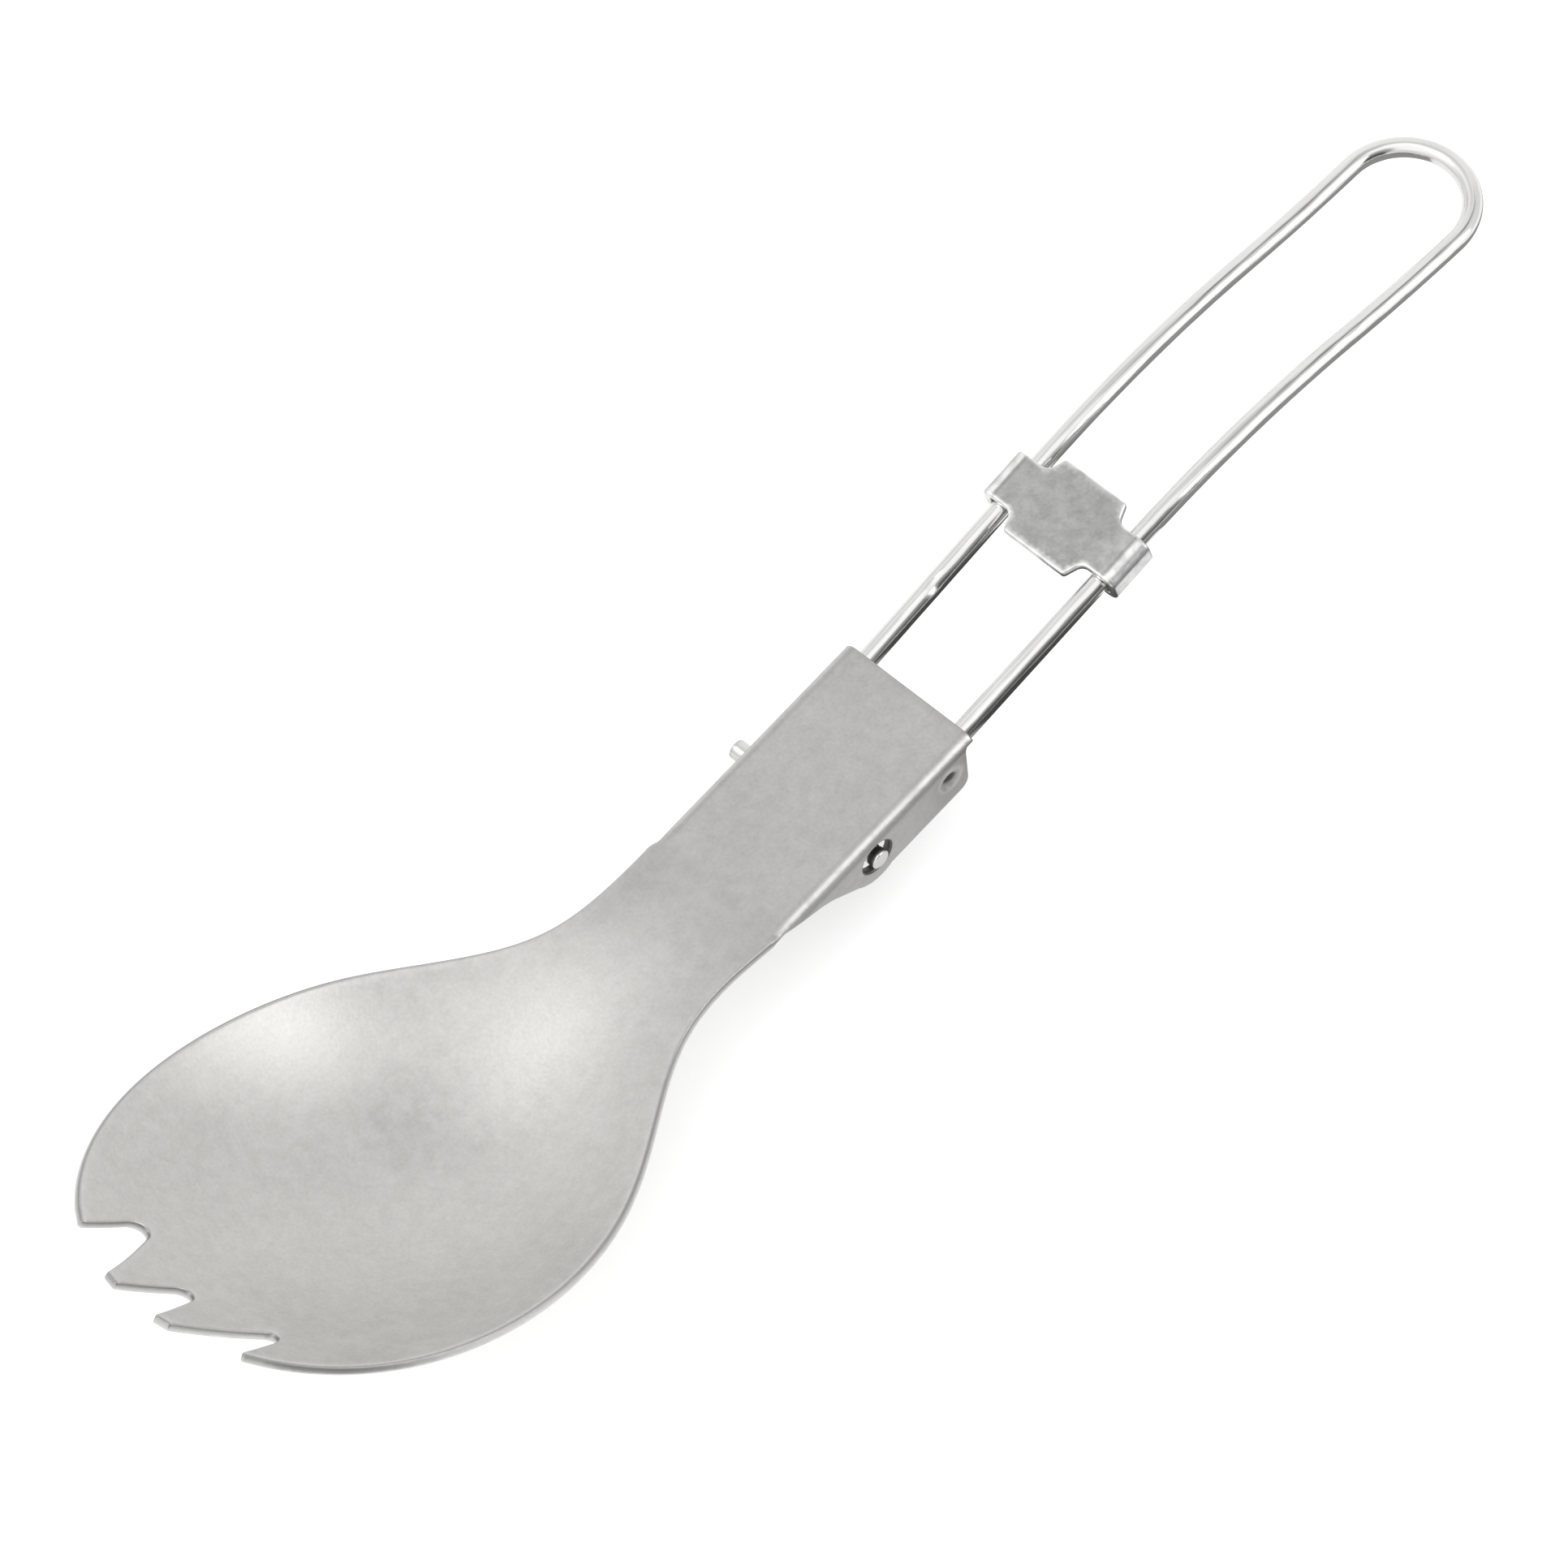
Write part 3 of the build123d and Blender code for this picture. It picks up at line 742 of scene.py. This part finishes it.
def slider_line():
    """The slider's outside seen from its end, from the middle of its top to a lip, as points and lengths."""
    rise = np.radians(RISE)
    place_x = PIVOT_X + np.cos(rise) * SL_PLACE
    spacing = leg_half(place_x + SL_WING / 2)
    height = WIRE_R + SL_CLEAR + SL_SHEET
    half = spacing + WIRE_R + SL_SIDE_CLEAR + SL_SHEET
    corners = [(0, height), (half, height), (half, -height), (spacing - SL_LIP, -height)]
    return rounded(corners, [0, SL_TOP_R, SL_CURL_R, 0], closed=False, step=0.08)


def build_slider():
    """Slider of one small sheet, bent round both legs."""
    line = slider_line()
    run = np.r_[0, np.cumsum(np.linalg.norm(np.diff(line, axis=0), axis=1))]
    ahead = np.gradient(line, run, axis=0)
    ahead /= np.linalg.norm(ahead, axis=1)[:, None]
    full = run[-1]
    rise = np.radians(RISE)
    along = np.array([np.cos(rise), 0, np.sin(rise)])
    up = np.array([-np.sin(rise), 0, np.cos(rise)])
    centre = np.array([PIVOT_X, 0, -PIVOT_DEPTH]) + along * SL_PLACE

    def surface(flat, height):
        """Place of flat points at a height between the under face and the upper face."""
        s = np.abs(flat[:, 1])
        side = np.where(flat[:, 1] < 0, -1.0, 1.0)
        y = np.interp(s, run, line[:, 0])
        z = np.interp(s, run, line[:, 1])
        ty = np.interp(s, run, ahead[:, 0])
        tz = np.interp(s, run, ahead[:, 1])
        size = np.hypot(ty, tz)
        ny, nz = -tz / size, ty / size
        y, z = y - ny * (SL_SHEET - height), z - nz * (SL_SHEET - height)
        return centre + flat[:, :1] * along + (y * side)[:, None] * np.array([0, 1, 0]) + z[:, None] * up

    tongue, wing = SL_TONGUE / 2, SL_WING / 2
    front = [(tongue, SL_TONGUE_HALF, SL_TONGUE_R), (wing, SL_ROOT_HALF, SL_ROOT_R), (wing, full, SL_LIP_R)]
    left = front + [(-x, y, r) for x, y, r in reversed(front)]
    right = [(x, -y, r) for x, y, r in reversed(left)]
    corners = right[-1:] + left + right[:-1]
    outline = rounded([c[:2] for c in corners], [c[2] for c in corners], step=SL_STEP)
    outline = clean_loop(outline, step=SL_STEP)
    bends_from, along_step = 5.0, 0.3
    extra = [band(-wing, wing, along_step, bends_from, full, SL_STEP)]
    extra += [e * [1, -1] for e in extra]

    def marks(flat, height):
        """Bends painted paler and shinier, part wear and part painted highlight, between two lines of painted shade,
        and the right wing painted paler, painted light.
        """
        s = np.abs(flat[:, 1])
        flat_half = leg_half(0) + WIRE_R + SL_SIDE_CLEAR + SL_SHEET - SL_TOP_R
        bend = (s - flat_half) / (SL_TOP_R * pi / 2)
        # Two thin dark lines of painted shade along each bend
        line = 0.4 * np.exp(-((bend - 0.03) / 0.055) ** 2) + 0.5 * np.exp(-((bend - 0.58) / 0.07) ** 2)
        # The right wing painted paler: painted light
        bright = np.where(flat[:, 1] < 0, 0.22 * smooth_step(s, 3.5, 6.5), 0)
        return np.column_stack([np.maximum(smooth_step(bend, 0.08, 0.22), bright), line])

    slider = sheet_mesh("lock_slider_plate", [outline], surface, SL_SHEET, SL_EDGE_R, SL_LOW_R, SL_GRID,
                        extra, marks, SL_EDGE)
    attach(slider, "slider")
    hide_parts("lock_slider")
    return slider


head = build_head()
wire = build_wire()
slider = build_slider()


# ---------------------------------------------------------------- materials

def node(tree, kind, inputs=None, **settings):
    """Shader node with its settings, and its inputs set to values or linked to sockets."""
    made = tree.nodes.new(kind)
    for key, value in settings.items():
        setattr(made, key, value)
    for key, value in (inputs or {}).items():
        if isinstance(value, bpy.types.NodeSocket):
            tree.links.new(value, made.inputs[key])
        else:
            made.inputs[key].default_value = value
    return made


def noise(tree, vector, scale, detail, roughness):
    """Noise that varies about 0.5."""
    made = node(tree, "ShaderNodeTexNoise", {"Vector": vector, "Scale": scale, "Detail": detail,
                                             "Roughness": roughness})
    return made.outputs["Fac"]


def ranged(tree, value, low, high, to_low, to_high):
    """Value moved from one range to another, and kept in it."""
    made = node(tree, "ShaderNodeMapRange", {"Value": value, "From Min": low, "From Max": high,
                                             "To Min": to_low, "To Max": to_high})
    return made.outputs["Result"]


def maths(tree, how, a, b):
    """Sum, product or the like of two values."""
    return node(tree, "ShaderNodeMath", {0: a, 1: b}, operation=how).outputs[0]


def mixed(tree, share, a, b):
    """Colour a with a share of colour b."""
    return node(tree, "ShaderNodeMix", {0: share, 6: a, 7: b}, data_type="RGBA").outputs[2]


def material(name):
    """Metal material, its node tree and its shader."""
    made = bpy.data.materials.new(name)
    made.use_nodes = True
    tree = made.node_tree
    tree.nodes.clear()
    out = tree.nodes.new("ShaderNodeOutputMaterial")
    shader = tree.nodes.new("ShaderNodeBsdfPrincipled")
    tree.links.new(shader.outputs[0], out.inputs[0])
    shader.inputs["Metallic"].default_value = 1.0
    return made, tree, shader


# Colour of the painted shade: dark lines, pits, hinge holes, the channel and the wire inside it
PAINTED_SHADE = (0.035, 0.034, 0.032)
# The finish has noise of four sizes, each in features per metre
CLOUD_SCALE, MOTTLE_SCALE, PIT_SCALE, GRAIN_SCALE = 110, 760, 1500, 2900
BLAST_BUMP, DRAW_BUMP = 0.00004, 0.0003
PLATE_TONE = (-0.038, -0.014)    # the finish changes from the bowl's to the plate's between these, along X


def blasted(name, low, high, wear_and_highlight, rough, worn_rough, mottling, bump, plate=1.0):
    """Fine bead-blasted metal: cloudy tone, fine grain, bends and cut edges painted paler and shinier, part
    burnished and part painted highlight, and painted shade where its marks ask for it.
    """
    made, tree, shader = material(name)
    where = tree.nodes.new("ShaderNodeTexCoord").outputs["Object"]
    marks = node(tree, "ShaderNodeAttribute", attribute_name="marks").outputs["Vector"]
    cut, rub_and_highlight, painted_shade = node(tree, "ShaderNodeSeparateXYZ", {0: marks}).outputs
    clouds = noise(tree, where, CLOUD_SCALE, 4, 0.55)
    mottle = noise(tree, where, MOTTLE_SCALE, 3, 0.6)
    grain = noise(tree, where, GRAIN_SCALE, 2, 0.6)
    tone = maths(tree, "ADD", maths(tree, "MULTIPLY", clouds, 0.3), maths(tree, "MULTIPLY", mottle, mottling))
    tone = maths(tree, "ADD", tone, maths(tree, "MULTIPLY", grain, 0.7 - mottling))
    colour = mixed(tree, ranged(tree, tone, 0.36, 0.64, 0, 1), (*low, 1), (*high, 1))
    back = ranged(tree, node(tree, "ShaderNodeSeparateXYZ", {0: where}).outputs[0], *PLATE_TONE, 1, plate)
    scaled = node(tree, "ShaderNodeVectorMath", {0: colour, "Scale": back}, operation="SCALE")
    colour = scaled.outputs[0]
    # Paler, shinier colour on cut edges and bends: part wear, part painted highlight
    broken = ranged(tree, mottle, 0.3, 0.6, 0.55, 1)
    shine = maths(tree, "MULTIPLY", maths(tree, "MAXIMUM", cut, rub_and_highlight), broken)
    colour = mixed(tree, shine, colour, (*wear_and_highlight, 1))
    # Painted shade where the marks ask for it
    shade_share = maths(tree, "MULTIPLY", painted_shade, ranged(tree, mottle, 0.25, 0.6, 0.8, 1))
    colour = mixed(tree, shade_share, colour, (*PAINTED_SHADE, 1))
    tree.links.new(colour, shader.inputs["Base Color"])
    uneven = maths(tree, "ADD", maths(tree, "MULTIPLY", mottle, 0.5), maths(tree, "MULTIPLY", clouds, 0.5))
    roughness = ranged(tree, uneven, 0.35, 0.65, rough - 0.04, rough + 0.05)
    roughness = maths(tree, "SUBTRACT", roughness, maths(tree, "MULTIPLY", shine, rough - worn_rough))
    tree.links.new(roughness, shader.inputs["Roughness"])
    pits = noise(tree, where, PIT_SCALE, 3, 0.6)
    height = maths(tree, "ADD", grain, maths(tree, "MULTIPLY", pits, 0.9))
    strength = maths(tree, "MULTIPLY", maths(tree, "SUBTRACT", 1, maths(tree, "MULTIPLY", shine, 0.85)), bump)
    bumped = node(tree, "ShaderNodeBump", {"Height": height, "Strength": strength, "Distance": BLAST_BUMP})
    tree.links.new(bumped.outputs[0], shader.inputs["Normal"])
    return made


def drawn_wire(name):
    """Polished wire: faint lengthwise draw marks and a little unevenness from the bending."""
    made, tree, shader = material(name)
    grain = node(tree, "ShaderNodeAttribute", attribute_name="grain").outputs["Vector"]
    draw = node(tree, "ShaderNodeMapping", {"Vector": grain, "Scale": (5.0, 5.0, 0.05)}).outputs[0]
    draws = noise(tree, draw, 1.0, 3, 0.5)
    wave = node(tree, "ShaderNodeMapping", {"Vector": grain, "Scale": (0.5, 0.5, 0.14)}).outputs[0]
    waves = noise(tree, wave, 1.0, 2, 0.45)
    tone = maths(tree, "ADD", maths(tree, "MULTIPLY", draws, 0.6), maths(tree, "MULTIPLY", waves, 0.4))
    colour = mixed(tree, ranged(tree, tone, 0.35, 0.65, 0, 1), (0.76, 0.755, 0.74, 1), (0.86, 0.857, 0.845, 1))
    # Painted shade on the wire inside the channel and on the left pin
    marks = node(tree, "ShaderNodeAttribute", attribute_name="marks").outputs["Vector"]
    painted_shade = node(tree, "ShaderNodeSeparateXYZ", {0: marks}).outputs[2]
    colour = mixed(tree, maths(tree, "MULTIPLY", painted_shade, 0.9), colour, (*PAINTED_SHADE, 1))
    tree.links.new(colour, shader.inputs["Base Color"])
    roughness = ranged(tree, tone, 0.35, 0.65, 0.11, 0.18)
    tree.links.new(maths(tree, "ADD", roughness, maths(tree, "MULTIPLY", painted_shade, 0.3)), shader.inputs["Roughness"])
    height = maths(tree, "ADD", waves, maths(tree, "MULTIPLY", draws, 0.03))
    bumped = node(tree, "ShaderNodeBump", {"Height": height, "Strength": 0.5, "Distance": DRAW_BUMP})
    tree.links.new(bumped.outputs[0], shader.inputs["Normal"])
    return made


head.data.materials.append(blasted(
    "titanium_blasted", low=(0.585, 0.579, 0.563), high=(0.7, 0.694, 0.678), wear_and_highlight=(0.83, 0.825, 0.81),
    rough=0.45, worn_rough=0.3, mottling=0.36, bump=0.24, plate=0.765))
slider.data.materials.append(blasted(
    "titanium_slider", low=(0.307, 0.306, 0.301), high=(0.451, 0.45, 0.443), wear_and_highlight=(0.93, 0.93, 0.925),
    rough=0.4, worn_rough=0.36, mottling=0.5, bump=0.4))
wire.data.materials.append(drawn_wire("titanium_wire"))

# ---------------------------------------------------------------- floor, light and camera

def flat_sheet(name, size, z):
    """Square face at a height."""
    mesh = bpy.data.meshes.new(name)
    mesh.from_pydata([(-size, -size, z), (size, -size, z), (size, size, z), (-size, size, z)], [], [(0, 1, 2, 3)])
    obj = bpy.data.objects.new(name, mesh)
    bpy.context.scene.collection.objects.link(obj)
    return obj


FLOOR_Z = -0.006     # low enough for the handle folded under the bowl
FLOOR_HALF, PAPER_TONE, PAPER_GLOW, MIRRORED_GLOW = 3.0, 0.86, 0.4, 0.3
floor = flat_sheet("floor", FLOOR_HALF, FLOOR_Z)
paper = bpy.data.materials.new("white_floor")
paper.use_nodes = True
tree = paper.node_tree
tree.nodes.clear()
out = tree.nodes.new("ShaderNodeOutputMaterial")
matt = node(tree, "ShaderNodeBsdfDiffuse", {"Color": (PAPER_TONE, PAPER_TONE, PAPER_TONE, 1)})
lit = node(tree, "ShaderNodeEmission", {"Color": (1, 1, 1, 1), "Strength": PAPER_GLOW})
paths = tree.nodes.new("ShaderNodeLightPath")
mirrored = maths(tree, "MAXIMUM", paths.outputs["Is Glossy Ray"], paths.outputs["Is Transmission Ray"])
seen = maths(tree, "MAXIMUM", paths.outputs["Is Camera Ray"], maths(tree, "MULTIPLY", mirrored, MIRRORED_GLOW))
both = node(tree, "ShaderNodeAddShader")
tree.links.new(matt.outputs[0], both.inputs[0])
tree.links.new(lit.outputs[0], both.inputs[1])
choose = node(tree, "ShaderNodeMixShader", {0: seen})
tree.links.new(matt.outputs[0], choose.inputs[1])
tree.links.new(both.outputs[0], choose.inputs[2])
# From underneath the floor doesn't hide the object
behind = tree.nodes.new("ShaderNodeNewGeometry").outputs["Backfacing"]
below = maths(tree, "MULTIPLY", paths.outputs["Is Camera Ray"], behind)
under = node(tree, "ShaderNodeMixShader", {0: below})
tree.links.new(choose.outputs[0], under.inputs[1])
tree.links.new(tree.nodes.new("ShaderNodeBsdfTransparent").outputs[0], under.inputs[2])
tree.links.new(under.outputs[0], out.inputs[0])
floor.data.materials.append(paper)

# Studio: an even pale room with brighter and darker patches, each at an azimuth and a height in degrees,
# with its gain and the angles from its middle where it starts to fade and ends
WORLD_LEVEL, DARKEST = 0.8, 0.1
WORLD_PATCHES = (
    ((180, 66), 0.42, 10, 65),
    ((52, 14), 0.18, 25, 60),
    ((72, 66), -0.32, 8, 24),
    ((-8, 68), -0.5, 6, 17),
    ((8, 54), -0.3, 4, 12),
    ((88, 24), -0.2, 5, 14),
    ((-100, 34), -0.55, 14, 26),
    ((-92, 8), -0.7, 15, 25),
)
world = bpy.data.worlds.new("studio")
bpy.context.scene.world = world
world.use_nodes = True
tree = world.node_tree
tree.nodes.clear()
out = tree.nodes.new("ShaderNodeOutputWorld")
where = tree.nodes.new("ShaderNodeTexCoord").outputs["Generated"]
level = None
for (azimuth, height), gain, inner, outer in WORLD_PATCHES:
    a, h = np.radians(azimuth), np.radians(height)
    towards = (np.cos(a) * np.cos(h), np.sin(a) * np.cos(h), np.sin(h))
    near = node(tree, "ShaderNodeVectorMath", {0: where, 1: towards}, operation="DOT_PRODUCT").outputs["Value"]
    patch = node(tree, "ShaderNodeMapRange", {"Value": near, "From Min": float(np.cos(np.radians(outer))),
                                              "From Max": float(np.cos(np.radians(inner))), "To Min": 0,
                                              "To Max": gain}, interpolation_type="SMOOTHSTEP").outputs["Result"]
    level = maths(tree, "ADD", WORLD_LEVEL if level is None else level, patch)
level = maths(tree, "MAXIMUM", level, DARKEST)
grey = node(tree, "ShaderNodeCombineColor", {0: level, 1: level, 2: level}).outputs[0]
back = node(tree, "ShaderNodeBackground", {"Color": grey, "Strength": 1.0})
tree.links.new(back.outputs[0], out.inputs[0])


def lamp(name, place, aim, size, watts):
    """Rectangular lamp at a place, turned towards its aim."""
    data = bpy.data.lights.new(name, "AREA")
    data.shape = "RECTANGLE"
    data.size, data.size_y = size
    data.energy = watts
    obj = bpy.data.objects.new(name, data)
    obj.location = place
    obj.rotation_mode = "QUATERNION"
    obj.rotation_quaternion = (Vector(aim) - Vector(place)).to_track_quat("-Z", "Y")
    bpy.context.scene.collection.objects.link(obj)
    return obj


lamp("softbox", (0.5, -0.79, 0.5), (0, 0, 0.02), (0.5, 0.75), 2.2)
lamp("top", (-0.5, 0.3, 1.1), (0, 0, 0), (0.7, 0.7), 2.0)

# Dark card under the handle, seen only in glossy metal, for the dark line along the wires: each strip is its run
# in x and in y
CARD_Z = -0.0001
STRIPS = (
    (-0.012, 0.034, -0.5, 0.004),
    (0.034, 0.043, -0.5, -0.018),
    (0.034, 0.043, -0.004, 0.004),
    (0.043, 0.1, -0.5, 0.004),
)
mesh = bpy.data.meshes.new("dark_card")
mesh.from_pydata(
    [(x, y, CARD_Z) for x0, x1, y0, y1 in STRIPS for x, y in ((x0, y0), (x1, y0), (x1, y1), (x0, y1))], [],
    [tuple(range(4 * k, 4 * k + 4)) for k in range(len(STRIPS))])
card = bpy.data.objects.new("dark_card", mesh)
bpy.context.scene.collection.objects.link(card)
dark = bpy.data.materials.new("dark_card")
dark.use_nodes = True
tree = dark.node_tree
tree.nodes.clear()
out = tree.nodes.new("ShaderNodeOutputMaterial")
# Pale in front, darkest behind that and a little paler again towards its rear
along = node(tree, "ShaderNodeSeparateXYZ", {0: node(tree, "ShaderNodeTexCoord").outputs["Object"]}).outputs["X"]
level = maths(tree, "ADD", ranged(tree, along, 0.012, 0.017, 0.75, 0.07), ranged(tree, along, 0.03, 0.05, 0, 0.24))
glow = node(tree, "ShaderNodeEmission", {"Color": (1, 1, 1, 1), "Strength": level})
tree.links.new(glow.outputs[0], out.inputs[0])
card.data.materials.append(dark)
card.visible_camera = card.visible_diffuse = card.visible_shadow = card.visible_transmission = False

# Camera at the photograph's angle: its place and its axes in the level spork's frame, in millimetres
LOOK_FROM = np.array([-0.2443, -0.4048, 0.8812])
CAMERA_AT = np.array([-220.4, -362.2, 793.8])
FOCAL_PIXELS, FRAME_PIXELS, SENSOR = 12105, 1932, 36.0
ROLL = np.radians(46.0)
looking = -LOOK_FROM / np.linalg.norm(LOOK_FROM)
level_x = np.array([1.0, 0, 0]) - looking * looking[0]
level_x /= np.linalg.norm(level_x)
right = np.cos(ROLL) * level_x + np.sin(ROLL) * np.cross(looking, level_x)
down = np.cross(looking, right)
axes = np.column_stack([LAY @ right, LAY @ -down, LAY @ -looking])
camera_data = bpy.data.cameras.new("camera")
camera = bpy.data.objects.new("camera", camera_data)
bpy.context.scene.collection.objects.link(camera)
camera_data.sensor_width = SENSOR
camera_data.lens = SENSOR * FOCAL_PIXELS / FRAME_PIXELS
camera_data.clip_start, camera_data.clip_end = 0.01, 20
camera.matrix_world = Matrix.Translation(Vector(rest(CAMERA_AT))) @ Matrix(axes.tolist()).to_4x4()
bpy.context.scene.camera = camera
bpy.context.scene.view_settings.view_transform = "Standard"

bpy.context.view_layer.update()
